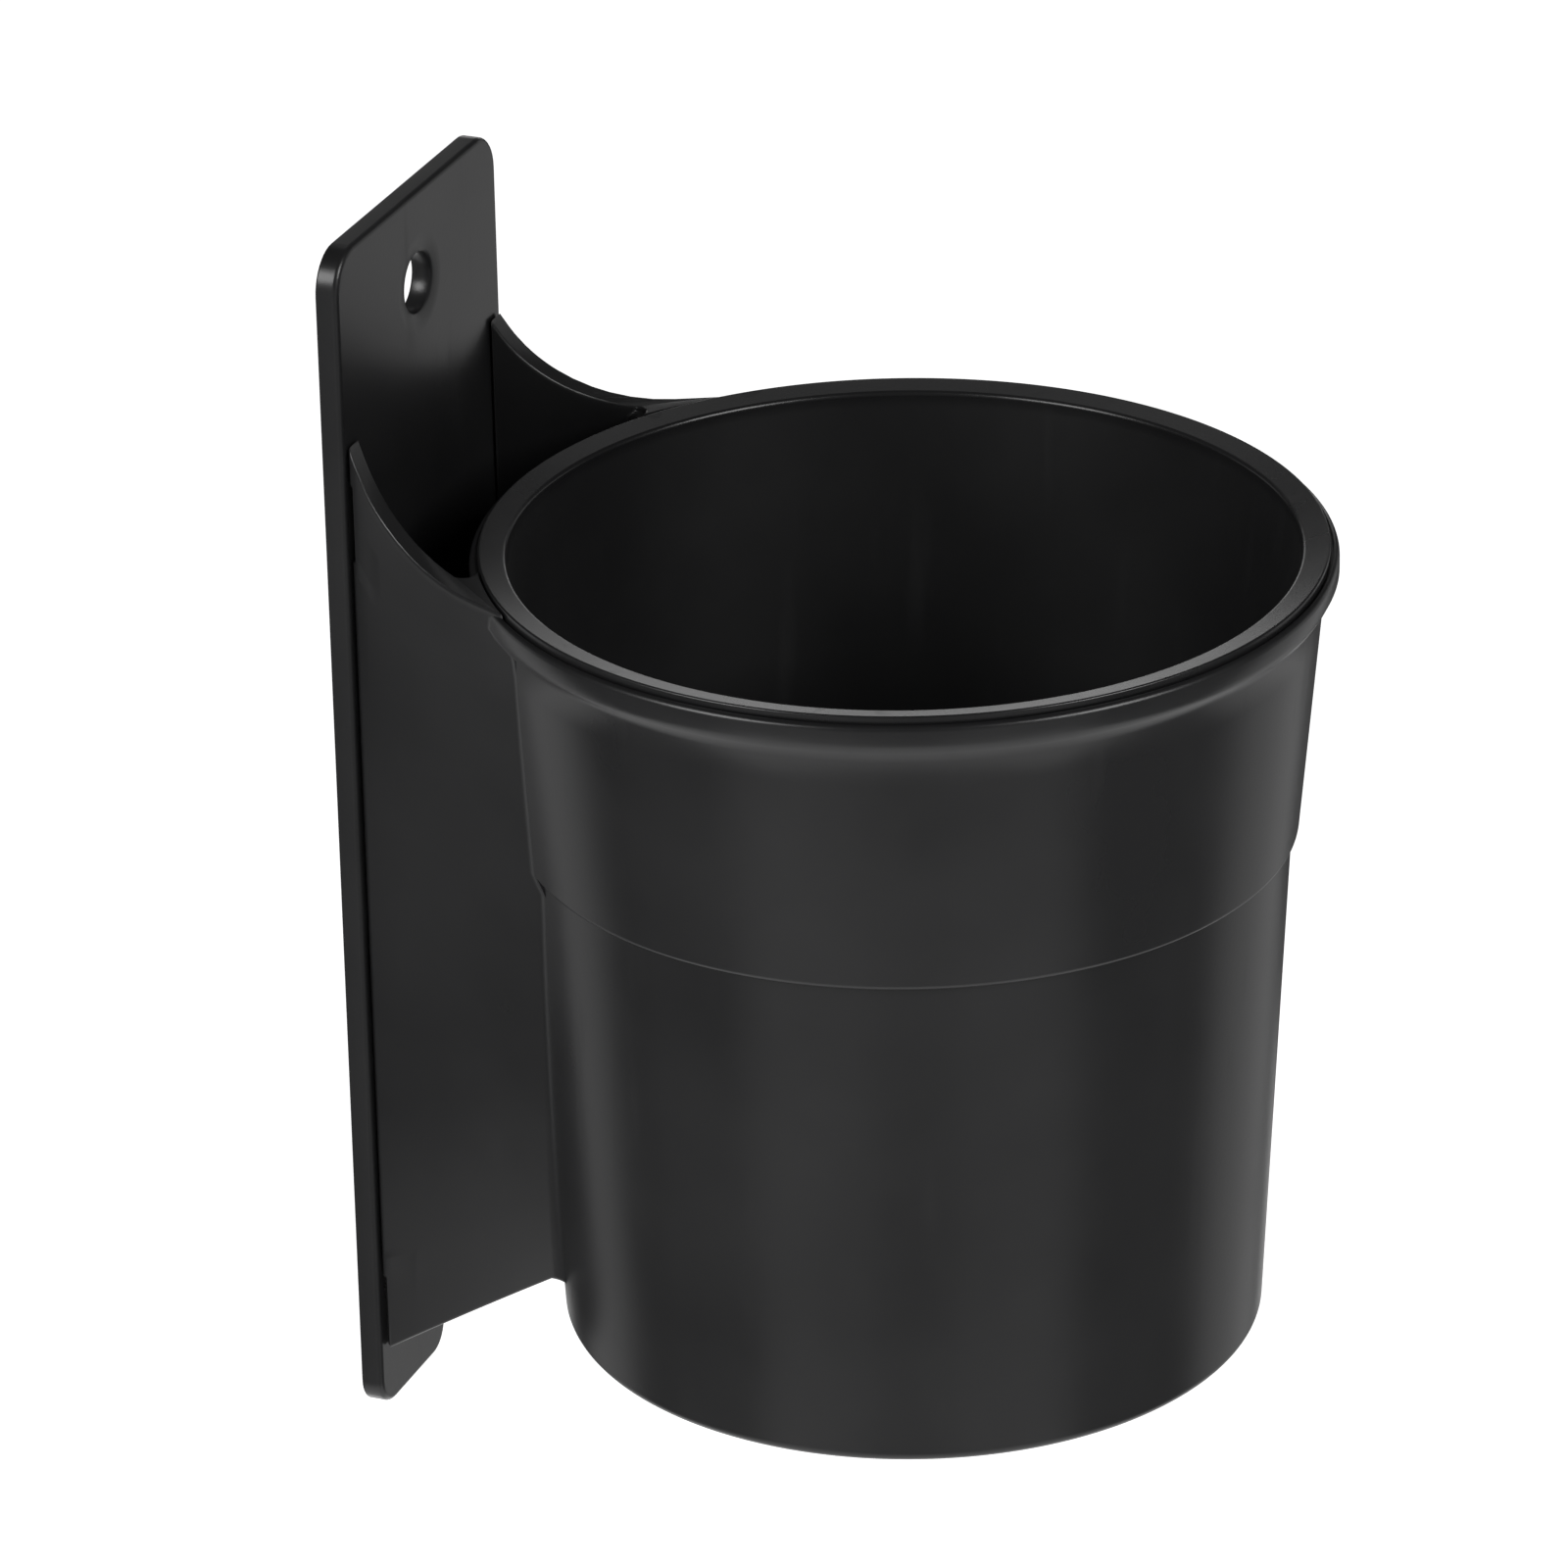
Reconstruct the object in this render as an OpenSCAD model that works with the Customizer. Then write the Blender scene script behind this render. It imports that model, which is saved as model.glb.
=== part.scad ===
// Screw-on desk-side cup holder.
// A flat back plate is screwed to the side of a desk. The holder, a stepped cup on two
// flared side webs, drops onto the plate's T-shaped rail from above, and a thin drop-in
// cup insert hangs in the holder by its lip.
// Units are millimetres. +Z is up, -Y points away from the desk, X runs along the desk.
// The origin is the centre of the plate's screw hole, on the plate's back face.

/* [Back plate] */
// Width of the plate along the desk
plate_w = 41; // [40:0.5:44]
// Height of the plate
plate_h = 134.4; // [132:0.2:138]
// Thickness of the plate
plate_t = 2.5; // [2:0.1:3]
// Distance from the screw hole's centre up to the top edge
hole_drop = 10.2; // [9:0.1:13]
// Diameter of the screw hole
hole_d = 6.6; // [4:0.1:7]
// Depth of the shallow dish round the front of the screw hole
hole_dish = 0.25; // [0.1:0.05:0.6]
// Radius of the plate's top corners
top_corner_r = 4.5; // [2:0.5:8]
// Radius of the plate's bottom corners
foot_corner_r = 3.5; // [2:0.5:5]
// Width of the open slot in the bottom edge
slot_w = 7; // [6:0.1:8]
// Height of the slot's round end above the bottom edge
slot_h = 7; // [6:0.5:8]

/* [Rail] */
// Width of the rail's stem, next to the plate
stem_w = 18; // [16:0.5:19]
// Width of the rail's head, which the holder's feet hook behind
head_w = 27; // [25:0.5:28]
// Depth of the stem, which is the height of the groove for the feet
stem_d = 2.4; // [2.2:0.1:2.6]
// Thickness of the rail's head
head_t = 2; // [1.6:0.1:2.2]
// Depth of the rail's top below the rim
rail_drop = 22; // [20:1:26]
// Height of the rail
rail_h = 61.5; // [56:0.5:61.5]

/* [Cup] */
// Distance from the desk to the cup's axis
reach = 56.5; // [56:0.5:60]
// Depth of the rim below the screw hole
rim_drop = 22; // [20:0.5:26]
// Outer height of the cup, from the rim to the underside
cup_h = 88; // [86:0.5:90]
// Outer radius of the rim flange
flange_r = 45.1; // [45:0.1:45.6]
// Outer radius of the collar below the flange
collar_top_r = 43.55; // [43.4:0.05:43.8]
// Outer radius of the collar above the step
collar_foot_r = 41.15; // [41:0.05:41.5]
// Depth of the step below the rim
step_drop = 31.4; // [30:0.2:34]
// Outer radius of the lower cup at the step
barrel_top_r = 40.4; // [40.2:0.05:40.6]
// Outer radius of the lower cup at its underside
barrel_foot_r = 37.5; // [37:0.1:38.5]
// Wall thickness of the holder's cup
wall = 1.2; // [1.1:0.05:1.3]
// Wall thickness of the cup insert
insert_wall = 1.3; // [1:0.05:1.3]

/* [Webs] */
// Thickness of each side web
web_t = 2.3; // [2:0.1:2.6]
// Half of the distance between the webs' outer faces at the plate
web_back_x = 19.8; // [19:0.1:20]
// Radius of the curved top edge
web_arc_r = 18.1; // [17.9:0.1:20]

/* [Hidden] */
$fn = 96;

moulding = [0.055, 0.055, 0.06]; // black plastic
eps = 0.01;

// Clearances between the three pieces
seam = 0.1;          // gap between the webs and the plate
glide = 0.3;         // gap round the feet in the rail's groove
insert_gap = 0.25;   // gap between the insert and the holder's wall
floor_gap = 0.3;     // gap under the insert's floor
rest_gap = 0.03;     // left under the feet, so that they rest just clear of the stop
rebate_gap = 0.3;    // visible groove round the insert's lip

plate_top = hole_drop;
plate_foot = plate_top - plate_h;
rim_z = -rim_drop;
rail_top = rim_z - rail_drop;
rail_foot = rail_top - rail_h;
front_y = -plate_t;              // the plate's front face
head_y = front_y - stem_d;       // the back of the rail's head
cup_y = -reach;

// Rim: the flange has a rebate in which the insert's lip lies
lip_r = 44.2;
rebate_r = lip_r + rebate_gap;
rebate_z = -0.65;                // rebate floor, from the rim
crest_z = -0.35;                 // top of the flange outside the rebate
flange_face_z = [-0.95, -2.3];   // upright part of the flange's face
flange_under = [-0.55, -3.4];    // the underside tapers in two steps: radius from the face, z
flange_root_z = -4.8;            // where the taper meets the collar
lip_rise = 0.45;                 // the lip's outer edge stands this far above its mouth
floor_t = 1.6;
insert_floor_t = 1.4;

// Cup radii along the height, z measured from the rim
function collar_r(z) = collar_top_r
    + (collar_top_r - collar_foot_r) * (z - flange_root_z) / (step_drop + flange_root_z);
function barrel_r(z) = barrel_top_r
    + (barrel_top_r - barrel_foot_r) * (z + step_drop) / (cup_h - step_drop);

// Points of a round stretch about [cx, cz], from angle a0 to angle a1
function arc(cx, cz, r, a0, a1, n) =
    [for (i = [0:n]) [cx + r * cos(a0 + (a1 - a0) * i / n), cz + r * sin(a0 + (a1 - a0) * i / n)]];

// ---- Back plate -------------------------------------------------------------

module plate_outline() {
    half = plate_w / 2;
    difference() {
        union() {
            for (side = [-1, 1]) {
                translate([side * (half - top_corner_r), plate_top - top_corner_r]) circle(top_corner_r);
                translate([side * (half - foot_corner_r), plate_foot + foot_corner_r]) circle(foot_corner_r);
            }
            translate([-half + top_corner_r, plate_foot + foot_corner_r])
                square([plate_w - 2 * top_corner_r, plate_h - foot_corner_r]);
            translate([-half, plate_foot + foot_corner_r])
                square([plate_w, plate_h - foot_corner_r - top_corner_r]);
            translate([-half + foot_corner_r, plate_foot])
                square([plate_w - 2 * foot_corner_r, foot_corner_r + 1]);
        }
        // open slot, with a rounded mouth
        translate([0, plate_foot + slot_h]) circle(d = slot_w);
        translate([-slot_w / 2, plate_foot - 1]) square([slot_w, slot_h + 1]);
        for (side = [-1, 1]) slot_mouth(side);
    }
}

// The rounded corner between the slot and the bottom edge
module slot_mouth(side) {
    mouth_r = 3.2;
    difference() {
        translate([side * (slot_w / 2 + mouth_r / 2), plate_foot + mouth_r / 2 - eps])
            square([mouth_r + 2 * eps, mouth_r + 2 * eps], center = true);
        translate([side * (slot_w / 2 + mouth_r), plate_foot + mouth_r]) circle(mouth_r);
    }
}

// An upright outline in X and Z becomes a slab from y0 forward by depth
module slab(y0, depth) {
    translate([0, y0, 0]) rotate([90, 0, 0]) linear_extrude(depth) children();
}

// The T-shaped rail, with a stop under the feet that also carries the rail's head
module rail() {
    stop_w = head_w + 6;
    stop_h = 2;
    stop_lead = 1;
    translate([-stem_w / 2, head_y, rail_foot]) cube([stem_w, stem_d + eps, rail_h]);
    translate([-head_w / 2, head_y - head_t, rail_foot]) cube([head_w, head_t, rail_h]);
    translate([-stop_w / 2, head_y - stop_lead, rail_foot - stop_h])
        cube([stop_w, stem_d + stop_lead + eps, stop_h]);
}

module screw_hole() {
    dish_d = hole_d + 3.6;
    rotate([90, 0, 0]) {
        translate([0, 0, -1]) cylinder(h = plate_t + 2, d = hole_d);
        translate([0, 0, plate_t - hole_dish])
            cylinder(h = hole_dish + eps, d1 = hole_d, d2 = dish_d);
    }
}

module back_plate() {
    color(moulding) difference() {
        union() {
            slab(0, plate_t) plate_outline();
            rail();
        }
        screw_hole();
    }
}

// ---- Holder body ------------------------------------------------------------

foot_edge_r = 1.2;   // round lower edge of the cup
base_r = 31.5;       // shallow recess in the cup's underside
base_recess = 0.4;
step_edge_r = 0.45;  // round lower edge of the collar

// Outside of the cup, from the axis outward and up, closed over the rim
module cup_outside() {
    rotate_extrude() polygon(concat(
        [[0, -cup_h + base_recess], [base_r, -cup_h + base_recess], [base_r, -cup_h]],
        arc(barrel_foot_r - foot_edge_r, -cup_h + foot_edge_r, foot_edge_r, -90, 0, 5),
        [[barrel_r(-step_drop), -step_drop]],
        arc(collar_foot_r - step_edge_r, -step_drop + step_edge_r, step_edge_r, -90, 0, 4),
        [[collar_top_r, flange_root_z], [flange_r + flange_under[0], flange_under[1]],
         [flange_r, flange_face_z[1]]],
        arc(flange_r - 0.5, flange_face_z[0], 0.5, 0, 80, 5),
        [[rebate_r, crest_z], [0, crest_z]]));
}

// Space inside the cup: the rebate, the collar and the lower cup
module cup_inside() {
    top = 20;
    rotate_extrude() polygon([
        [0, -cup_h + floor_t],
        [barrel_r(-cup_h + floor_t) - wall, -cup_h + floor_t],
        [barrel_r(-step_drop) - wall, -step_drop],
        [collar_r(-step_drop) - wall, -step_drop],
        [collar_r(rebate_z) - wall, rebate_z],
        [rebate_r, rebate_z],
        [rebate_r, top],
        [0, top]]);
}

// The webs are ruled surfaces: straight in plan at every height, upright at the plate and
// leaning outward with the cup at their front ends. y is measured from the cup's axis.
web_back_y = reach - plate_t - seam;
web_front_y = 27;
web_flare = [30.6, 18.9];       // outer face 32.5 in front of the axis, at the rim and low down
web_flare_y = 32.5;
web_flare_z = -83;
web_layers = 36;
web_z = [-100, 14];

function flare_x(z) = web_flare[0] + (web_flare[1] - web_flare[0]) * z / web_flare_z;
function web_run(z) = (flare_x(z) - web_back_x) / (web_back_y - web_flare_y);
// The four corners of the web in plan at height z, for the web on the +X side
function web_corners(z) =
    let (run = web_run(z), tilt = atan(run), inward = [-cos(tilt), -sin(tilt)] * web_t,
         back = [web_back_x, web_back_y],
         front = [web_back_x + run * (web_back_y - web_front_y), web_front_y])
    [back, front, front + inward, [back[0] - web_t / cos(tilt), web_back_y]];

module web_sheet() {
    heights = [for (i = [0:web_layers]) web_z[0] + (web_z[1] - web_z[0]) * i / web_layers];
    points = [for (z = heights) for (p = web_corners(z)) [p[0], p[1], z]];
    sides = [for (i = [0:web_layers - 1], k = [0:3])
        let (a = 4 * i + k, b = 4 * i + (k + 1) % 4)
        each [[a, b, b + 4], [a, b + 4, a + 4]]];
    polyhedron(points, concat([[0, 1, 2], [0, 2, 3]], sides,
        [[4 * web_layers, 4 * web_layers + 2, 4 * web_layers + 1],
         [4 * web_layers, 4 * web_layers + 3, 4 * web_layers + 2]]), convexity = 4);
}

// Side view of a web, y across and z up: a curved top edge and a sloping lower edge
web_arc_y = web_back_y - 16.9;
web_crest = 0.1;
web_tip_z = 12;
web_low = [[54, -95], [33.4, -82.5]];
web_slope = (web_low[1][1] - web_low[0][1]) / (web_low[1][0] - web_low[0][0]);
function web_low_z(y) = web_low[0][1] + web_slope * (y - web_low[0][0]);

module web_side() {
    front = web_front_y - 2;
    back = web_back_y + 1;
    difference() {
        polygon([[front, web_low_z(front)], [back, web_low_z(back)], [back, web_tip_z],
                 [front, web_tip_z]]);
        translate([web_arc_y, web_crest + web_arc_r]) circle(web_arc_r, $fn = 128);
        translate([front - 1, web_crest]) square([web_arc_y - front + 1, 20]);
    }
}

// Slots in the outer half of the rear edge: one below the tip, one down to the lower edge
slot_depth = 0.6;
slot_x = 1;
slot_spans = [[-1.7, 7], [-98, -85.8]];

module web_slots() {
    for (span = slot_spans)
        translate([web_back_x - slot_x, web_back_y - slot_depth, span[0]])
            cube([slot_x + 5, slot_depth + 1, span[1] - span[0]]);
}

// Low pads on the outer face, beside the seam: a tall one near the top, a rib near the foot.
// Each is set by the distance of its two ends from the rear edge, its foot and its height.
pad_rise = 0.3;
pads = [[3.6, 0.7, -3.4, 2.4], [4.4, 0.7, -84, 0.9]];

module web_pads() {
    intersection() {
        translate([pad_rise, 0, 0]) web_sheet();
        for (pad = pads)
            translate([0, web_back_y - pad[0], pad[2]]) cube([40, pad[0] - pad[1], pad[3]]);
    }
}

module web() {
    difference() {
        intersection() {
            web_sheet();
            rotate([90, 0, 90]) linear_extrude(60) web_side();
        }
        web_slots();
    }
    web_pads();
}

// The foot on the web's rear edge, which hooks behind the rail's head
module foot() {
    above = 1;      // how far it reaches over the rail's top
    sunk = 1;       // its outer side lies this far inside the web's outer face
    low = rail_foot - rim_z + rest_gap;
    top = rail_top - rim_z + above;
    inner_x = stem_w / 2 + glide;
    depth = stem_d - glide - seam;
    translate([inner_x, web_back_y - depth, low])
        cube([web_back_x - sunk - inner_x, depth, top - low]);
}

module holder_body() {
    color(moulding) translate([0, cup_y, rim_z]) difference() {
        union() {
            cup_outside();
            for (side = [0, 1]) mirror([side, 0, 0]) {
                web();
                foot();
            }
        }
        cup_inside();
    }
}

// ---- Cup insert -------------------------------------------------------------

module cup_insert() {
    out = wall + insert_gap;           // from the holder's outside to the insert's outside
    thick = out + insert_wall;
    taper_z = -step_drop;              // the wall spreads faster above this height
    foot_z = -cup_h + floor_t + floor_gap;
    floor_z = foot_z + insert_floor_t;
    edge = 0.25;                       // round edges of the lip
    mouth_r = collar_r(0) - thick;
    color(moulding) translate([0, cup_y, rim_z]) rotate_extrude() polygon(concat(
        [[0, foot_z]],
        arc(barrel_r(foot_z) - out - 2, foot_z + 2, 2, -90, 0, 5),
        [[barrel_r(taper_z) - out, taper_z], [collar_r(rebate_z) - out, rebate_z], [lip_r, rebate_z]],
        arc(lip_r - edge, lip_rise - edge, edge, 0, 90, 4),
        arc(mouth_r + edge, -edge, edge, 90, 180, 4),
        [[barrel_r(taper_z) - thick, taper_z]],
        arc(barrel_r(floor_z) - thick - 3, floor_z + 3, 3, 0, -90, 6),
        [[0, floor_z]]));
}

back_plate();
holder_body();
cup_insert();
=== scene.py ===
import math

import bmesh
import bpy
from mathutils import Matrix, Vector

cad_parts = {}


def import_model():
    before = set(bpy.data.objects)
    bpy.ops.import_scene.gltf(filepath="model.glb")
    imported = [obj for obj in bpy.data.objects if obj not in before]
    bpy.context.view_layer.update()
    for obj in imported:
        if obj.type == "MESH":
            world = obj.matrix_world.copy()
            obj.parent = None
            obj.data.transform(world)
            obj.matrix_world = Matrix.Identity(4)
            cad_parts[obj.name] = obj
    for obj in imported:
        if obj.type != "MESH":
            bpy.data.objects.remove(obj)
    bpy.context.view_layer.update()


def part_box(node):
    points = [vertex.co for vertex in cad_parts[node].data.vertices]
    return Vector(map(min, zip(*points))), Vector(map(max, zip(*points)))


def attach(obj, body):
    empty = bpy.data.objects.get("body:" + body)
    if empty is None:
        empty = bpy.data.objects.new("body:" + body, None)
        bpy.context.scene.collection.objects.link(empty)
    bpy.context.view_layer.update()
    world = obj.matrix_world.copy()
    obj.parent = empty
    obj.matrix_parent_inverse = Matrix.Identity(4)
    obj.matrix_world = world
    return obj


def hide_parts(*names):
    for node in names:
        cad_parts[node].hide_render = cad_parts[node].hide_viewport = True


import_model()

# The meshes are written in millimetres and stored in metres. The holder and the insert are
# drawn about the cup's own axis: x along the desk, y from the axis towards the plate, and
# z up from the rim.
MM = 0.001
plate_low, plate_high = [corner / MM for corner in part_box("back_plate")]
body_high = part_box("holder_body")[1] / MM
insert_low, insert_high = [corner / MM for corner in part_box("cup_insert")]

LIP_RISE = 0.45            # the insert's lip above its mouth
CUP_Y = (insert_low.y + insert_high.y) / 2
RIM_Z = insert_high.z - LIP_RISE
FLOOR_T = 1.6              # the holder's floor, and the gap between it and the insert
FLOOR_GAP = 0.3
CUP_H = RIM_Z - insert_low.z + FLOOR_T + FLOOR_GAP
TURN = 256                 # steps round the cup
ON_AXIS = 1e-6             # a radius that counts as a point on the axis


# ---- Outlines ------------------------------------------------------------------

def arc(cx, cz, r, start, end, steps=6):
    """Points of a round stretch about (cx, cz), from one angle to another, in degrees."""
    angles = [math.radians(start + (end - start) * i / steps) for i in range(steps + 1)]
    return [(cx + r * math.cos(a), cz + r * math.sin(a)) for a in angles]


def spaced(points, longest=3.0):
    """The same outline, with its long straight stretches divided evenly."""
    out = [points[0]]
    for (x0, z0), (x1, z1) in zip(points, points[1:]):
        count = max(1, math.ceil(math.hypot(x1 - x0, z1 - z0) / longest))
        out += [(x0 + (x1 - x0) * i / count, z0 + (z1 - z0) * i / count)
                for i in range(1, count + 1)]
    return out


def between(x, x0, y0, x1, y1):
    """y on the straight line through two points."""
    return y0 + (y1 - y0) * (x - x0) / (x1 - x0)


# ---- Mesh helpers --------------------------------------------------------------

def revolve(outline):
    """Turns an outline of (radius, z), whose two ends lie on the axis, into a closed mesh."""
    verts, rings, faces = [], [], []
    for r, z in outline:
        count = 1 if r < ON_AXIS else TURN
        rings.append([len(verts) + i for i in range(count)])
        for i in range(count):
            a = 2 * math.pi * i / TURN
            verts.append((r * math.cos(a), r * math.sin(a), z))
    for low, high in zip(rings, rings[1:]):
        for i in range(TURN):
            j = (i + 1) % TURN
            corners = [low[i % len(low)], low[j % len(low)],
                       high[j % len(high)], high[i % len(high)]]
            faces.append(list(dict.fromkeys(corners)))      # a triangle at the axis
    return verts, faces


def new_object(name, verts, faces, shift=(0, 0, 0)):
    """An object from points in millimetres, with its faces turned outward."""
    mesh = bpy.data.meshes.new(name)
    mesh.from_pydata([(Vector(v) + Vector(shift)) * MM for v in verts], [], faces)
    bm = bmesh.new()
    bm.from_mesh(mesh)
    bmesh.ops.recalc_face_normals(bm, faces=bm.faces)
    bm.to_mesh(mesh)
    bm.free()
    obj = bpy.data.objects.new(name, mesh)
    bpy.context.scene.collection.objects.link(obj)
    return obj


def rounded_box(name, low, high, radius):
    """A block with rounded edges, from its two corners in millimetres."""
    low, high = Vector(low), Vector(high)
    bm = bmesh.new()
    bmesh.ops.create_cube(bm, size=1)
    bmesh.ops.scale(bm, vec=high - low, verts=bm.verts)
    bmesh.ops.translate(bm, vec=(low + high) / 2, verts=bm.verts)
    bmesh.ops.bevel(bm, geom=bm.edges, offset=radius, segments=3, profile=0.5, affect="EDGES")
    bmesh.ops.scale(bm, vec=(MM, MM, MM), verts=bm.verts)
    mesh = bpy.data.meshes.new(name)
    bm.to_mesh(mesh)
    bm.free()
    obj = bpy.data.objects.new(name, mesh)
    bpy.context.scene.collection.objects.link(obj)
    return obj


def combine(base, others, operation):
    """Joins solids to the base, or cuts them from it, and removes them."""
    for other in others:
        boolean = base.modifiers.new(operation.lower(), "BOOLEAN")
        boolean.operation = operation
        boolean.solver = "EXACT"
        boolean.object = other
    bpy.context.view_layer.update()
    result = base.evaluated_get(bpy.context.evaluated_depsgraph_get())
    mesh = bpy.data.meshes.new_from_object(result)
    base.modifiers.clear()
    base.data = mesh
    for other in others:
        bpy.data.objects.remove(other)
    return base


WELD = 2e-6                # metres within which two points become one
SLIVER = 1e-6              # metres below which an edge is removed
SHARP_ANGLE = 32           # degrees above which an edge stays sharp


def finish_piece(obj, material, body, node):
    """Cleans and smooths a piece, gives it its material, and puts it on its CAD body."""
    bm = bmesh.new()
    bm.from_mesh(obj.data)
    bmesh.ops.remove_doubles(bm, verts=bm.verts, dist=WELD)
    bmesh.ops.dissolve_degenerate(bm, edges=bm.edges, dist=SLIVER)
    for face in bm.faces:
        face.smooth = True
    for edge in bm.edges:
        paired = len(edge.link_faces) == 2
        edge.smooth = paired and edge.calc_face_angle() < math.radians(SHARP_ANGLE)
    bm.to_mesh(obj.data)
    bm.free()
    weighted = obj.modifiers.new("weighted_normals", "WEIGHTED_NORMAL")
    weighted.keep_sharp = True
    weighted.weight = 80
    obj.data.materials.clear()
    obj.data.materials.append(material)
    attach(obj, body)
    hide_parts(node)


# ---- Black moulded plastic -----------------------------------------------------

# Noise patterns of the plastic: scale, detail and stretch along x, y and z
MOTTLE = (38, 4, (1, 1, 1))            # cloudy colour and gloss
SCUFFS = (260, 3, (1, 1, 0.12))        # upright rub marks
GRAIN = (2600, 2, (1, 1, 1))           # fine moulded grain
FLOW = (30, 1, (1, 1, 0.5))            # slow waves in the surface
WAVE_HEIGHT = 0.0006                   # metres
GRAIN_HEIGHT = 0.00004
DARK_TINT = (0.8, 0.8, 0.84)           # the mottle's darkest and lightest colours, as shares
LIGHT_TINT = (1.2, 1.2, 1.24)          # of the plastic's shade
MATT_ROUGH = 0.14                      # extra roughness of a matt stretch


def plastic(name, slot, shade, rough, seed, matt_below=None):
    """Satin black plastic: a faint mottle, fine moulded grain, flow waves and light scuffs.

    Below the height matt_below, in millimetres, the surface is a little rougher.
    """
    material = bpy.data.materials.new(name)
    material.use_nodes = True
    material["slot"] = slot
    tree = material.node_tree
    shader = tree.nodes["Principled BSDF"]
    shader.inputs["IOR"].default_value = 1.5
    shader.inputs["Metallic"].default_value = 0.0
    place = tree.nodes.new("ShaderNodeTexCoord").outputs["Object"]

    def moved(scale):
        mapping = tree.nodes.new("ShaderNodeMapping")
        mapping.inputs["Location"].default_value = (seed, seed * 0.7, seed * 1.3)
        mapping.inputs["Scale"].default_value = scale
        tree.links.new(place, mapping.inputs["Vector"])
        return mapping.outputs["Vector"]

    def noise(scale, detail, stretch):
        texture = tree.nodes.new("ShaderNodeTexNoise")
        texture.inputs["Scale"].default_value = scale
        texture.inputs["Detail"].default_value = detail
        tree.links.new(moved(stretch), texture.inputs["Vector"])
        return texture.outputs["Fac"]

    def remap(value, low, high, out_low, out_high):
        node = tree.nodes.new("ShaderNodeMapRange")
        for key, number in zip(("From Min", "From Max", "To Min", "To Max"),
                               (low, high, out_low, out_high)):
            node.inputs[key].default_value = number
        tree.links.new(value, node.inputs["Value"])
        return node.outputs["Result"]

    def bump(height, strength, distance, below=None):
        node = tree.nodes.new("ShaderNodeBump")
        node.inputs["Strength"].default_value = strength
        node.inputs["Distance"].default_value = distance
        tree.links.new(height, node.inputs["Height"])
        if below is not None:
            tree.links.new(below, node.inputs["Normal"])
        return node.outputs["Normal"]

    def added(first, second):
        node = tree.nodes.new("ShaderNodeMath")
        node.operation = "ADD"
        tree.links.new(first, node.inputs[0])
        tree.links.new(second, node.inputs[1])
        return node.outputs[0]

    mottle, scuff, grain, flow = (noise(*pattern) for pattern in (MOTTLE, SCUFFS, GRAIN, FLOW))

    ramp = tree.nodes.new("ShaderNodeValToRGB")
    dark, light = ramp.color_ramp.elements
    dark.position, light.position = 0.35, 0.7
    dark.color = [shade * share for share in DARK_TINT] + [1]
    light.color = [shade * share for share in LIGHT_TINT] + [1]
    tree.links.new(mottle, ramp.inputs["Fac"])
    tree.links.new(ramp.outputs["Color"], shader.inputs["Base Color"])

    base_rough = remap(mottle, 0.3, 0.7, rough - 0.03, rough + 0.03)
    scuffs = remap(scuff, 0.62, 0.78, 0.0, 0.08)
    roughness = added(base_rough, scuffs)
    if matt_below is not None:
        parts = tree.nodes.new("ShaderNodeSeparateXYZ")
        tree.links.new(place, parts.inputs[0])
        matt = remap(parts.outputs["Z"], (matt_below - 1) * MM, matt_below * MM, MATT_ROUGH, 0.0)
        roughness = added(roughness, matt)
    tree.links.new(roughness, shader.inputs["Roughness"])

    waves = bump(flow, 0.25, WAVE_HEIGHT)
    tree.links.new(bump(grain, 0.12, GRAIN_HEIGHT, waves), shader.inputs["Normal"])
    return material


# ---- Back plate ----------------------------------------------------------------

PLATE_T = 2.5
HOLE_R = 3.3
DISH_R = 5.1
DISH_DEPTH = 0.25
TOP_CORNER_R = 4.5
FOOT_CORNER_R = 3.5
SLOT_R = 3.5
SLOT_H = 7.0
SLOT_MOUTH_R = 3.2
CORNER_STEPS = 10
HOLE_STEPS = 96


def plate_outline(inset):
    """The plate's edge in X and Z, anticlockwise from the foot, moved inward by inset."""
    half, top, foot = plate_high.x, plate_high.z, plate_low.z
    slot_x = SLOT_R + inset
    mouth_r = SLOT_MOUTH_R - inset
    foot_r, top_r = FOOT_CORNER_R - inset, TOP_CORNER_R - inset
    right = arc(SLOT_R + SLOT_MOUTH_R, foot + SLOT_MOUTH_R, mouth_r, 180, 270, CORNER_STEPS)
    right += arc(half - FOOT_CORNER_R, foot + FOOT_CORNER_R, foot_r, -90, 0, CORNER_STEPS)
    right += arc(half - TOP_CORNER_R, top - TOP_CORNER_R, top_r, 0, 90, CORNER_STEPS)
    left = [(-x, z) for x, z in reversed(right)]
    slot = arc(0, foot + SLOT_H, slot_x, 180, 0, 2 * CORNER_STEPS)
    return right + left + slot


def hole_outline(radius):
    """The screw hole as a ring of points that doesn't repeat its first one."""
    return arc(0, 0, radius, 0, 360 * (HOLE_STEPS - 1) / HOLE_STEPS, HOLE_STEPS - 1)


def plate_rings(outline_at, steps):
    """One outline after another through the plate's thickness, as points in three dimensions."""
    return [[(x, -depth, z) for x, z in outline_at(size)] for size, depth in steps]


def loft(rings, verts, faces):
    """Adds closed rings of equal length and the strips between them.

    Returns the indices of each ring's points.
    """
    indices = []
    for ring in rings:
        indices.append(list(range(len(verts), len(verts) + len(ring))))
        verts += ring
    for low, high in zip(indices, indices[1:]):
        for i in range(len(low)):
            j = (i + 1) % len(low)
            faces.append([low[i], low[j], high[j], high[i]])
    return indices


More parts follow.
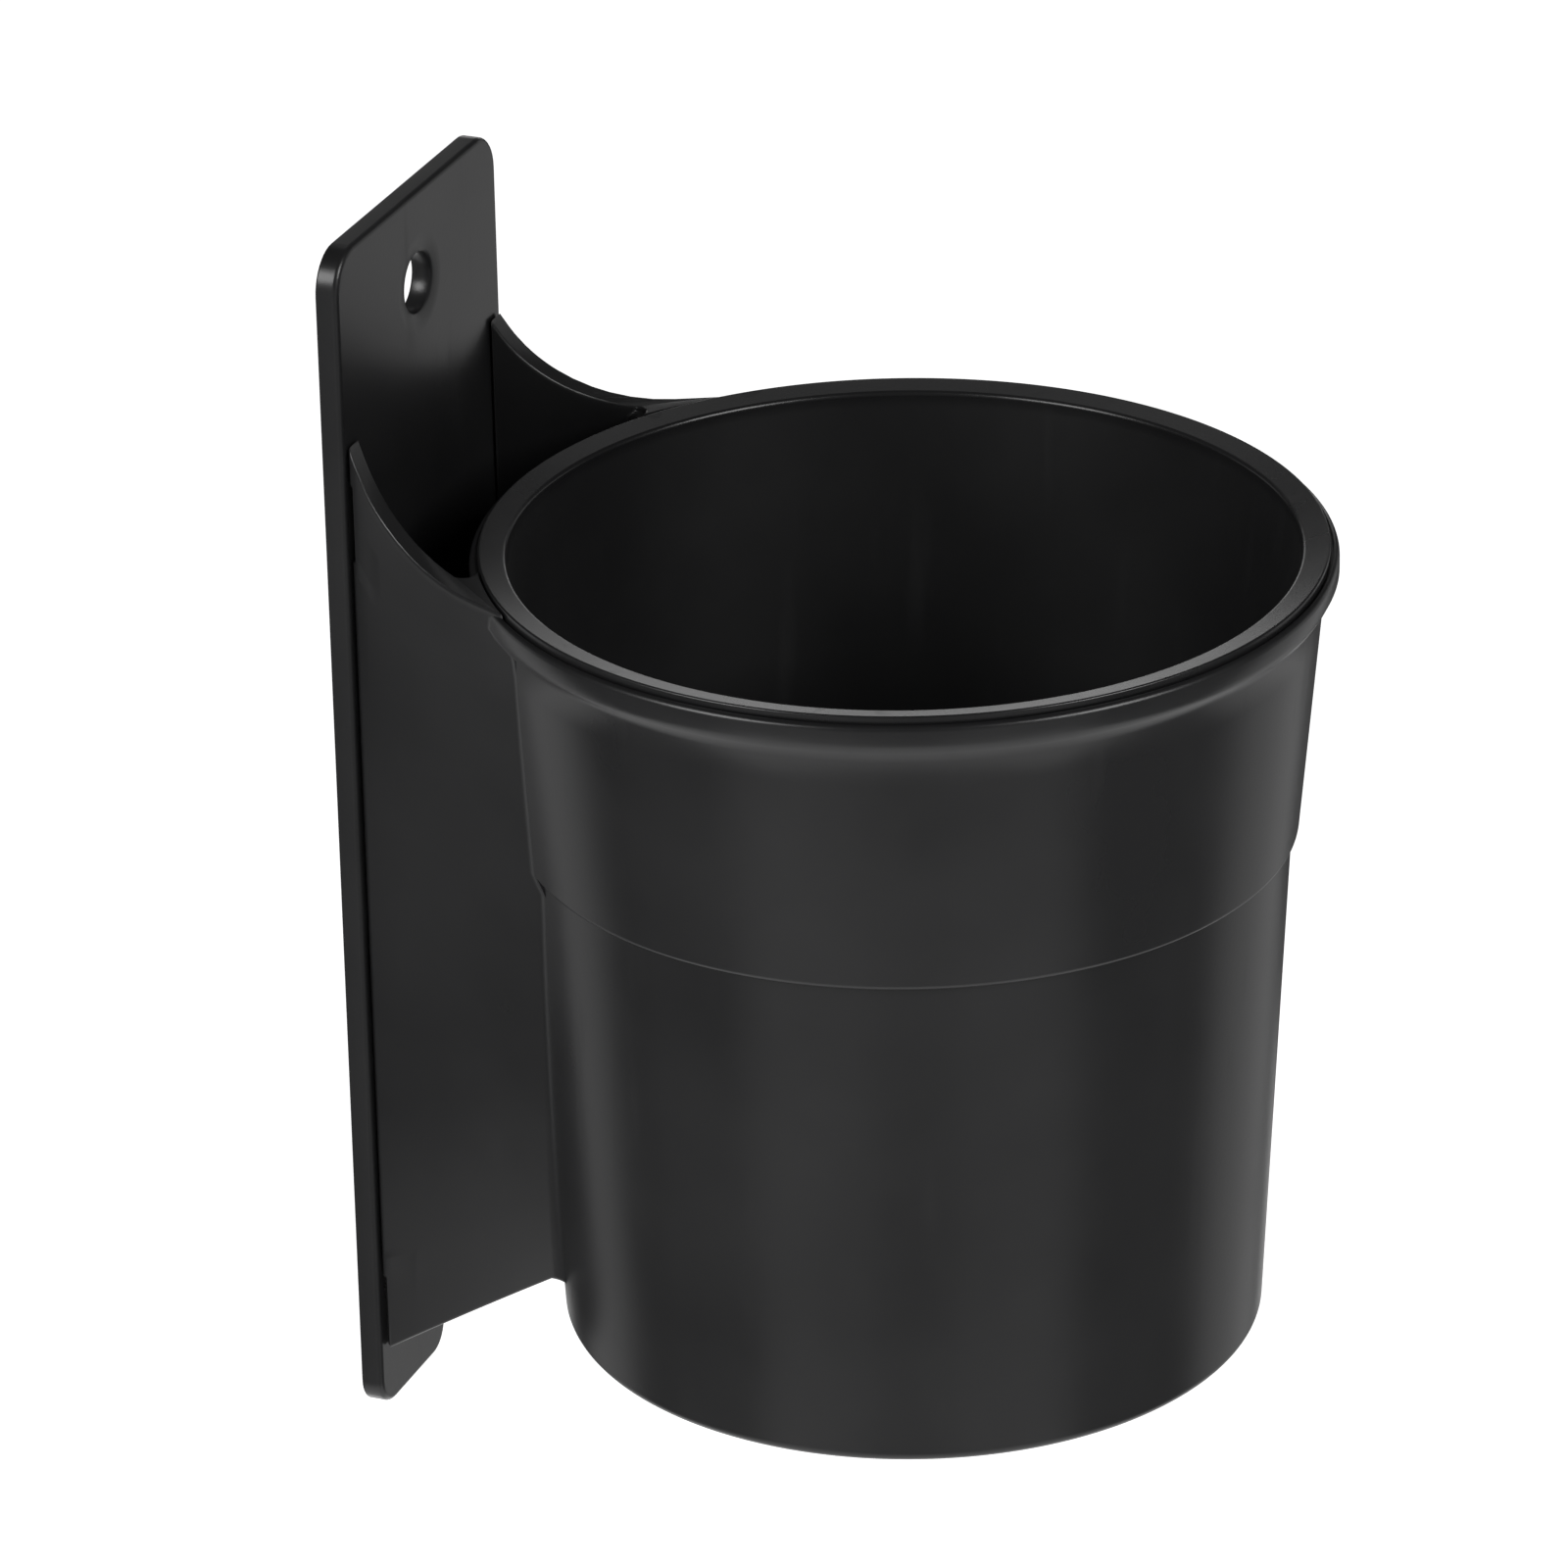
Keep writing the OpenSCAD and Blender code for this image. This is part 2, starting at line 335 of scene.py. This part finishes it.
def plate_mesh():
    """The plate with rounded edges and a dished screw hole."""
    edge, back_edge = 0.6, 0.25
    outer = [(back_edge - x, z) for x, z in arc(0, back_edge, back_edge, -90, 0, 3)]
    outer += [(edge - x, z) for x, z in arc(0, PLATE_T - edge, edge, 0, 90, 5)]
    rim = PLATE_T - DISH_DEPTH
    dish = [(HOLE_R + 0.3, 0.0), (HOLE_R + 0.08, 0.1), (HOLE_R, 0.3), (HOLE_R, rim - 0.15),
            (HOLE_R + 0.04, rim - 0.05), (HOLE_R + 0.15, rim + 0.02), (HOLE_R + 0.5, rim + 0.1),
            (DISH_R - 0.5, PLATE_T - 0.05), (DISH_R, PLATE_T - 0.008), (DISH_R + 0.4, PLATE_T)]
    verts, faces = [], []
    edge_rings = loft(plate_rings(plate_outline, outer), verts, faces)
    hole_rings = loft(plate_rings(hole_outline, dish), verts, faces)
    obj = new_object("back_plate_shell", verts, faces)
    bm = bmesh.new()
    bm.from_mesh(obj.data)
    bm.verts.ensure_lookup_table()
    for loops in ((edge_rings[0], hole_rings[0]), (edge_rings[-1], hole_rings[-1])):
        edges = []
        for loop in loops:
            for a, b in zip(loop, loop[1:] + loop[:1]):
                edges.append(bm.edges.get((bm.verts[a], bm.verts[b])))
        bmesh.ops.triangle_fill(bm, use_beauty=True, edges=edges)
    bmesh.ops.recalc_face_normals(bm, faces=bm.faces)
    bm.to_mesh(obj.data)
    bm.free()
    return obj


RAIL_STEM = 9.0            # half widths of the rail's stem, head and stop
RAIL_HEAD = 13.5
RAIL_STOP = 16.5
RAIL_HEAD_T = 2.0
RAIL_TOP = -22.0           # from the rim
RAIL_H = 61.5
STOP_H = 2.0
STOP_LEAD = 1              # how far the stop reaches under the head
RAIL_SUNK = 0.6            # how far the rail is sunk into the plate


def rail_solids():
    """The T-shaped rail and the stop under the holder's feet, sunk a little into the plate."""
    top, foot = RIM_Z + RAIL_TOP, RIM_Z + RAIL_TOP - RAIL_H
    root = -PLATE_T + RAIL_SUNK
    head_front, head_back = plate_low.y, plate_low.y + RAIL_HEAD_T
    # Small offsets keep the faces of the stem and the stop out of the planes of the head's
    stem = rounded_box("stem", (-RAIL_STEM, head_back - 0.5, foot + 0.01),
                       (RAIL_STEM, root, top - 0.02), 0.15)
    head = rounded_box("head", (-RAIL_HEAD, head_front, foot), (RAIL_HEAD, head_back, top), 0.4)
    stop = rounded_box("stop", (-RAIL_STOP, head_back - STOP_LEAD, foot - STOP_H),
                       (RAIL_STOP, root, foot + 0.04), 0.3)
    return [stem, head, stop]


# ---- Holder body ---------------------------------------------------------------

WALL = 1.2
STEP_Z = -31.4
FLANGE_R = 45.1
FLANGE_FACE = (-0.95, -2.3)
FLANGE_UNDER = (44.55, -3.4)
COLLAR = ((43.55, -4.8), (41.15, STEP_Z))
BARREL = ((40.4, STEP_Z), (37.5, -CUP_H))
REBATE_R = 44.5
REBATE_Z = -0.65
CREST_Z = -0.35
CREST_R = 0.65             # round top of the flange
FOOT_EDGE_R = 1.2
BASE_R = 31.5              # shallow recess in the underside
BASE_RECESS = 0.4
GATE = (0.9, 1.3, 0.25)    # the moulding gate's mark in it: two radii and a depth
STEP_EDGE_R = 0.6


def collar_r(z):
    return between(z, COLLAR[0][1], COLLAR[0][0], COLLAR[1][1], COLLAR[1][0])


def barrel_r(z):
    return between(z, BARREL[0][1], BARREL[0][0], BARREL[1][1], BARREL[1][0])


def outer_wall():
    """The cup's outside from its underside up to the flange's crest."""
    foot = arc(barrel_r(-CUP_H) - FOOT_EDGE_R, -CUP_H + FOOT_EDGE_R, FOOT_EDGE_R, -90, 0, 8)
    step = [(BARREL[0][0], STEP_Z)]
    step += arc(COLLAR[1][0] - STEP_EDGE_R, STEP_Z + STEP_EDGE_R, STEP_EDGE_R, -90, 0, 5)
    flange = [COLLAR[0], FLANGE_UNDER, (FLANGE_R, FLANGE_FACE[1])]
    crest = arc(FLANGE_R - CREST_R, FLANGE_FACE[0], CREST_R, 0, 80, 8)
    return foot + step + flange + crest


def wall_radius(z):
    """The cup's outer radius at a height."""
    points = outer_wall()
    for (r0, z0), (r1, z1) in zip(points, points[1:]):
        if z0 <= z <= z1 and z1 > z0:
            return between(z, z0, r0, z1, r1)
    return points[-1][0] if z > points[-1][1] else points[0][0]


def cup_mesh():
    """The cup on its own: outside, floor and inside, with no rebate yet."""
    inner = [(0, -CUP_H + FLOOR_T), (barrel_r(-CUP_H + FLOOR_T) - WALL, -CUP_H + FLOOR_T),
             (barrel_r(STEP_Z) - WALL, STEP_Z), (collar_r(STEP_Z) - WALL, STEP_Z),
             (collar_r(REBATE_Z) - WALL, CREST_Z)]
    base = -CUP_H + BASE_RECESS
    gate_r, gate_edge, gate_d = GATE
    underside = [(0, base - gate_d), (gate_r, base - gate_d), (gate_edge, base), (BASE_R, base),
                 (BASE_R + 0.4, -CUP_H)]
    outline = spaced(underside + outer_wall()) + spaced(inner[::-1])
    return new_object("holder_body", *revolve(outline))


# The webs are ruled surfaces: straight in plan at every height, upright beside the plate and
# leaning outward with the cup at their front ends.
WEB_T = 2.3
WEB_BACK = (19.8, body_high.y - CUP_Y)
WEB_FLARE = ((0.0, 30.6), (-83.0, 18.9))     # height and outer x, a fixed way in front
WEB_FLARE_Y = 32.5
WEB_ARC = (WEB_BACK[1] - 16.9, 18.1)         # the top curve's centre in y, and its radius
WEB_CREST = 0.1
WEB_LOW = ((54.0, -95.0), (33.4, -82.5))     # the lower edge, y and z
WEB_EDGE_R = 0.38
WEB_REAR_R = 0.5
WEB_TIP_R = 0.7
WEB_ROWS = 34                                # even steps up the web, before the closer ones
ROOT_Y = 34.5                                # about where the web meets the cup
PADS = ((3.6, -3.4, -1.0, 0.14), (4.4, -83.9, -83.1, 0.12))      # reach, foot, top and rise
PAD_SETBACK = 0.75                           # from the rear edge
PAD_EDGE = 0.3                               # width of a pad's soft edge
SLOT_DEPTH = 0.6                             # slots in the outer part of the rear edge
SLOT_X = 1.0                                 # and how far they reach inward
SLOT_SPANS = ((-1.7, 7.0), (-98.0, -85.8))
OUTER_FILLET = 2.6
INNER_FILLET = 1.4
SINK = 0.02                                  # how far a fillet's end dips under the wall
ROOT_DEPTH = 0.6                             # how deep the web's end goes into the wall
FOOT_X = 9.3                                 # the feet behind the rail's head: inner x, depth
FOOT_DEPTH = 2.0
REST_GAP = 0.03                              # kept clear above the stop


def web_run(z):
    """How far the web moves outward per millimetre towards the cup, at a height."""
    (z0, x0), (z1, x1) = WEB_FLARE
    return (between(z, z0, x0, z1, x1) - WEB_BACK[0]) / (WEB_BACK[1] - WEB_FLARE_Y)


def web_top(y):
    """The height of the web's curved top edge."""
    centre, radius = WEB_ARC
    rise = 0 if y < centre else radius - math.sqrt(radius ** 2 - (y - centre) ** 2)
    tip = min(max(0.0, WEB_TIP_R - (WEB_BACK[1] - y)), 0.95 * WEB_TIP_R)
    return WEB_CREST + rise - (WEB_TIP_R - math.sqrt(WEB_TIP_R ** 2 - tip ** 2))


def web_low(y):
    """The height of the web's sloping lower edge."""
    (y0, z0), (y1, z1) = WEB_LOW
    return between(y, y0, z0, y1, z1)


def root_curve(z, start, side, fillet):
    """A web face in plan at one height: its straight end, its fillet and its end in the wall."""
    run = web_run(z)
    along = Vector((run, -1)).normalized()
    out = Vector((1, run)).normalized() * side
    wall = wall_radius(z) - SINK
    offset = start + out * fillet
    half = offset.dot(along)
    s = -half - math.sqrt(half ** 2 - offset.length_squared + (wall + fillet) ** 2)
    centre = offset + along * s
    first = start + along * s
    toward_line, toward_wall = -out, -centre.normalized()
    points = [first]
    for i in range(1, 9):
        direction = toward_line.lerp(toward_wall, i / 8).normalized()
        points.append(centre + direction * fillet)
    points.append(points[-1].normalized() * (wall_radius(z) - ROOT_DEPTH))
    return points


def rows():
    """Shares of the web's height where the mesh has a row, closer where a shape starts or ends."""
    rear_low, rear_top = web_low(WEB_BACK[1]), web_top(WEB_BACK[1] - 1)
    root_low = web_low(ROOT_Y)
    shares = {i / WEB_ROWS for i in range(WEB_ROWS + 1)}
    step_heights = [STEP_Z + rise for rise in (-0.08, 0.02, 0.15, 0.4)]
    for z in step_heights + [-4.8, -4.1, -3.4, -2.3, -0.95, -0.4]:      # the step and the flange
        shares.add(between(z, root_low, 0, WEB_CREST, 1))
    for _, foot, top, _ in PADS:
        for z in (foot, top):
            shares |= {between(z + d, rear_low, 0, rear_top, 1)
                       for d in (-PAD_EDGE / 2, PAD_EDGE / 2)}
    closest = 0.0006
    kept = []
    for share in sorted(shares):
        if 0 <= share <= 1 and (not kept or share - kept[-1] > closest):
            kept.append(share)
    return kept


def pad_rise(y, z):
    """The low pad near the seam's top, and the low rib near its foot."""
    def block(value, low, high):
        from_low, from_high = (value - low) / PAD_EDGE, (high - value) / PAD_EDGE
        return max(0.0, min(1.0, from_low + 0.5, from_high + 0.5))

    back = WEB_BACK[1]
    return sum(rise * (block(y, back - reach, back - PAD_SETBACK) * block(z, foot, top))
               for reach, foot, top, rise in PADS)


# Even steps along the web, closer together beside the rear edge and the pads
COLUMN_SHARES = [0.0, 0.02, 0.03, 0.045, 0.07, 0.12, 0.155, 0.17, 0.19, 0.2, 0.22, 0.235, 0.26,
                 0.33, 0.42, 0.5, 0.6, 0.7, 0.8, 0.9, 1.0]


def web_columns(share):
    """One row of the web, from its rear edge to the cup: outer points and inner points."""
    def height(y):
        return web_low(y) + share * (web_top(y) - web_low(y))

    rear = WEB_BACK[1]
    result = []
    for side, fillet in ((1, OUTER_FILLET), (-1, INNER_FILLET)):
        z = height(35.0)            # a first guess at where the fillet starts; four rounds settle it
        for _ in range(4):
            tilt = math.atan(web_run(z))
            start_x = WEB_BACK[0] - (0 if side > 0 else WEB_T / math.cos(tilt))
            root = root_curve(z, Vector((start_x, WEB_BACK[1])), side, fillet)
            z = height(root[0].y)
        line = []
        for u in COLUMN_SHARES:
            y = rear + (root[0].y - rear) * u
            level = height(y)
            run = web_run(level)
            x = WEB_BACK[0] + run * (WEB_BACK[1] - y)
            if side < 0:
                x -= WEB_T / math.cos(math.atan(run))
            else:
                x += pad_rise(y, level)
            line.append(Vector((x, y, level)))
        line += [Vector((p.x, p.y, z)) for p in root[1:]]
        result.append(line)
    return result


def web_ring(outer, inner, inset):
    """A closed ring round the web's section: up its outer face, over its top and down inside."""
    edge = max(WEB_EDGE_R - inset, 0.02)

    def rounded(point, other, sign):
        """Four points that turn an edge from a face to the top or the bottom."""
        across = (other - point).normalized()
        start = point + across * inset
        turned = []
        for i in range(1, 5):
            a = math.radians(90 * i / 4)
            shift = across * edge * (1 - math.cos(a))
            turned.append(start + shift + Vector((0, 0, sign * edge * math.sin(a))))
        return turned

    def face(points, others):
        return [p + (o - p).normalized() * inset for p, o in zip(points, others)]

    room = Vector((0, 0, WEB_EDGE_R))
    outer, inner = list(outer), list(inner)
    outer[0], inner[0] = outer[0] + room, inner[0] + room
    outer[-1], inner[-1] = outer[-1] - room, inner[-1] - room
    ring = face(outer, inner) + rounded(outer[-1], inner[-1], 1)
    ring += rounded(inner[-1], outer[-1], 1)[::-1] + face(inner, outer)[::-1]
    ring += rounded(inner[0], outer[0], -1) + rounded(outer[0], inner[0], -1)[::-1]
    return ring


def web_mesh(mirror):
    """A web as one closed mesh; mirror is 1 or -1 for its side."""
    grid = [web_columns(share) for share in rows()]
    count, columns = len(grid), len(grid[0][0])
    rings = []
    for i in range(3):              # the round rear edge
        a = math.radians(30 * i)
        inset, back = WEB_REAR_R * (1 - math.sin(a)), WEB_REAR_R * (1 - math.cos(a))
        outer = [row[0][0] - Vector((0, back, 0)) for row in grid]
        inner = [row[1][0] - Vector((0, back, 0)) for row in grid]
        rings.append(web_ring(outer, inner, inset))
    for c in range(1, columns):
        rings.append(web_ring([row[0][c] for row in grid], [row[1][c] for row in grid], 0))
    verts, faces = [], []
    indices = loft([[(p.x * mirror, p.y, p.z) for p in ring] for ring in rings], verts, faces)
    for ring in (indices[0], indices[-1]):
        low_inner = 2 * count + 7       # where the ring's inner face ends, at its foot
        for i in range(count - 1):
            faces.append([ring[i], ring[i + 1], ring[low_inner - i - 1], ring[low_inner - i]])
        faces.append(ring[count - 1:count + 9])
        faces.append(ring[low_inner:] + ring[:1])
    return new_object("web", verts, faces)


def holder_body():
    """Cup, webs and feet joined, then the lip's rebate and the webs' rear slots cut out."""
    body = cup_mesh()
    back_x, back = WEB_BACK
    cutter_outline = [(0, REBATE_Z), (REBATE_R, REBATE_Z), (REBATE_R, 20), (0, 20)]
    parts, cuts = [], [new_object("rebate", *revolve(cutter_outline))]
    for mirror in (1, -1):
        parts.append(web_mesh(mirror))
        x_low, x_high = sorted((mirror * FOOT_X, mirror * (back_x - 1)))
        parts.append(rounded_box("foot",
                                 (x_low, back - FOOT_DEPTH, RAIL_TOP - RAIL_H + REST_GAP),
                                 (x_high, back - 0.03, RAIL_TOP + 1), 0.3))
        x_low, x_high = sorted((mirror * (back_x - SLOT_X), mirror * (back_x + 2)))
        for low, high in SLOT_SPANS:
            cuts.append(rounded_box("slot", (x_low, back - SLOT_DEPTH, low),
                                    (x_high, back + 1, high), 0.2))
    combine(body, parts, "UNION")
    combine(body, cuts, "DIFFERENCE")
    body.data.transform(Matrix.Translation(Vector((0, CUP_Y, RIM_Z)) * MM))
    return body


# ---- Cup insert ----------------------------------------------------------------

INSERT_GAP = 0.25
INSERT_WALL = 1.3
INSERT_FLOOR_T = 1.4
INSERT_FOOT_R = 2
INSERT_FLOOR_R = 3
LIP_R = 44.2
LIP_EDGE_R = 0.22
MOUTH_EDGE_R = 0.5


def cup_insert():
    """The drop-in cup: outside, lip, mouth, inside and floor."""
    out = WALL + INSERT_GAP
    thick = out + INSERT_WALL
    foot = insert_low.z - RIM_Z
    floor_z = foot + INSERT_FLOOR_T
    mouth = collar_r(0) - thick
    outline = [(0, foot)]
    outline += arc(barrel_r(foot) - out - INSERT_FOOT_R, foot + INSERT_FOOT_R,
                   INSERT_FOOT_R, -90, 0, 6)
    outline += [(barrel_r(STEP_Z) - out, STEP_Z)]
    outline += [(collar_r(REBATE_Z) - out, REBATE_Z),
                (LIP_R - 0.1, REBATE_Z), (LIP_R, REBATE_Z + 0.1)]
    outline += arc(LIP_R - LIP_EDGE_R, LIP_RISE - LIP_EDGE_R, LIP_EDGE_R, 0, 98, 6)
    outline += arc(mouth + MOUTH_EDGE_R, -MOUTH_EDGE_R, MOUTH_EDGE_R, 98, 180, 8)
    outline += [(barrel_r(STEP_Z) - thick, STEP_Z)]
    outline += arc(barrel_r(floor_z) - thick - INSERT_FLOOR_R, floor_z + INSERT_FLOOR_R,
                   INSERT_FLOOR_R, 0, -90, 8)
    outline += [(0, floor_z)]
    return new_object("cup_insert", *revolve(spaced(outline)), shift=(0, CUP_Y, RIM_Z))


# ---- Studio --------------------------------------------------------------------

FLOOR_Z = -0.75            # the part hangs at desk height over a pale floor


def floor():
    """A wide, pale, matt floor, lit evenly from within so that it stays plain white."""
    size = 40.0
    mesh = bpy.data.meshes.new("floor")
    corners = [(-size, -size), (size, -size), (size, size), (-size, size)]
    mesh.from_pydata([(x, y, FLOOR_Z) for x, y in corners], [], [(0, 1, 2, 3)])
    plane = bpy.data.objects.new("floor", mesh)
    bpy.context.scene.collection.objects.link(plane)
    material = bpy.data.materials.new("pale_floor")
    material.use_nodes = True
    shader = material.node_tree.nodes["Principled BSDF"]
    shader.inputs["Base Color"].default_value = (0.93, 0.93, 0.93, 1)
    shader.inputs["Roughness"].default_value = 0.9
    shader.inputs["Specular IOR Level"].default_value = 0.1
    shader.inputs["Emission Color"].default_value = (1, 1, 1, 1)
    shader.inputs["Emission Strength"].default_value = 1.0
    mesh.materials.append(material)
    plane.visible_glossy = False


def softbox(name, turn, height, distance, width, tall, power):
    """A soft panel aimed at the cup; turn is to the right of the camera, in degrees."""
    data = bpy.data.lights.new(name, "AREA")
    data.shape = "RECTANGLE"
    data.size, data.size_y = width, tall
    data.energy = power
    light = bpy.data.objects.new(name, data)
    bpy.context.scene.collection.objects.link(light)
    bearing = math.radians(CAMERA_TURN + turn)
    target = Vector((0, CUP_Y * MM, (RIM_Z - CUP_H / 2) * MM))
    light.location = target + Vector((math.sin(bearing), -math.cos(bearing), 0)) * distance
    light.location.z += height
    light.rotation_euler = (target - light.location).to_track_quat("-Z", "Y").to_euler()
    light.visible_camera = False


def world():
    """An even pale surround: white as the camera sees it, and dim as a light."""
    surround = bpy.data.worlds.new("studio")
    bpy.context.scene.world = surround
    surround.use_nodes = True
    tree = surround.node_tree
    tree.nodes.clear()
    output = tree.nodes.new("ShaderNodeOutputWorld")
    seen, lighting = (tree.nodes.new("ShaderNodeBackground") for _ in range(2))
    for background, strength in ((seen, 1.05), (lighting, 0.045)):
        background.inputs["Color"].default_value = (1, 1, 1, 1)
        background.inputs["Strength"].default_value = strength
    path = tree.nodes.new("ShaderNodeLightPath")
    mix = tree.nodes.new("ShaderNodeMixShader")
    tree.links.new(path.outputs["Is Camera Ray"], mix.inputs["Fac"])
    tree.links.new(lighting.outputs[0], mix.inputs[1])
    tree.links.new(seen.outputs[0], mix.inputs[2])
    tree.links.new(mix.outputs[0], output.inputs["Surface"])


# Soft panels: turn to the right of the camera's direction, height above the cup's middle,
# distance, width, height of the panel and power
PANELS = {
    "front_left": (-34, -0.4, 1.3, 0.8, 1.5, 1.2),
    "front": (0, -0.4, 1.3, 0.8, 1.5, 0.7),
    "front_right": (34, -0.4, 1.3, 0.8, 1.5, 1.15),
    "left": (-75, -0.35, 1.3, 0.6, 1.5, 0.36),
    "right": (75, -0.35, 1.3, 0.6, 1.5, 0.25),
    "left_back": (-122, -0.35, 1.3, 0.65, 1.5, 1.4),
    "right_back": (117, -0.35, 1.3, 0.5, 1.5, 0.95),
    "far_right": (139, -0.35, 1.3, 0.4, 1.5, 0.9),
    "horizon": (180, 0.18, 1.3, 0.9, 0.3, 1.0),
    "far_high": (180, 1.1, 1.3, 0.5, 0.4, 0.25),
    "high_left": (-54, 0.75, 1.1, 0.6, 0.6, 8),
    "high_right": (54, 0.75, 1.1, 0.6, 0.6, 8),
    "below": (0, -0.6, 0.02, 1.0, 1.0, 2.6),
    "below_back": (180, -0.6, 0.5, 0.6, 0.6, 1.0),
}


def lights():
    """All the soft panels."""
    for name, row in PANELS.items():
        softbox(name, *row)


# The camera's turn round the object, its height angle and its roll, in degrees; then its focal
# length in millimetres and its place in metres
CAMERA_TURN = -67.859
CAMERA_RISE = 24.996
CAMERA_ROLL = -1.121
CAMERA_LENS = 201.4
CAMERA_PLACE = (-0.7777, -0.3590, 0.3398)


def camera():
    """A long lens, looking down at the near web and the front of the cup."""
    data = bpy.data.cameras.new("camera")
    data.lens = CAMERA_LENS
    data.sensor_width = 36.0
    data.clip_start, data.clip_end = 0.01, 100.0
    obj = bpy.data.objects.new("camera", data)
    bpy.context.scene.collection.objects.link(obj)
    turn, rise, roll = map(math.radians, (CAMERA_TURN, CAMERA_RISE, CAMERA_ROLL))
    back = Vector((math.sin(turn) * math.cos(rise), -math.cos(turn) * math.cos(rise),
                   math.sin(rise)))
    level = Vector((math.cos(turn), math.sin(turn), 0))
    up = back.cross(level)
    right = level * math.cos(roll) + up * math.sin(roll)
    up = up * math.cos(roll) - level * math.sin(roll)
    obj.matrix_world = Matrix((right, up, back)).transposed().to_4x4()
    obj.location = CAMERA_PLACE
    bpy.context.scene.camera = obj


# ---- Build ---------------------------------------------------------------------

SHADE = 0.012              # base colour of the black plastic

plate = combine(plate_mesh(), rail_solids(), "UNION")
plate.name = "back_plate_moulding"
finish_piece(plate, plastic("plate_black", "plate_plastic", SHADE, 0.3, 3.1),
             "plate", "back_plate")

body = holder_body()
body.name = "holder_moulding"
finish_piece(body, plastic("body_black", "body_plastic", SHADE, 0.3, 7.7),
             "holder", "holder_body")

insert = cup_insert()
insert.name = "insert_moulding"
finish_piece(insert, plastic("insert_black", "insert_plastic", SHADE, 0.27, 12.4, RIM_Z - 0.6),
             "insert", "cup_insert")

floor()
world()
lights()
camera()
bpy.context.scene.view_settings.view_transform = "Standard"
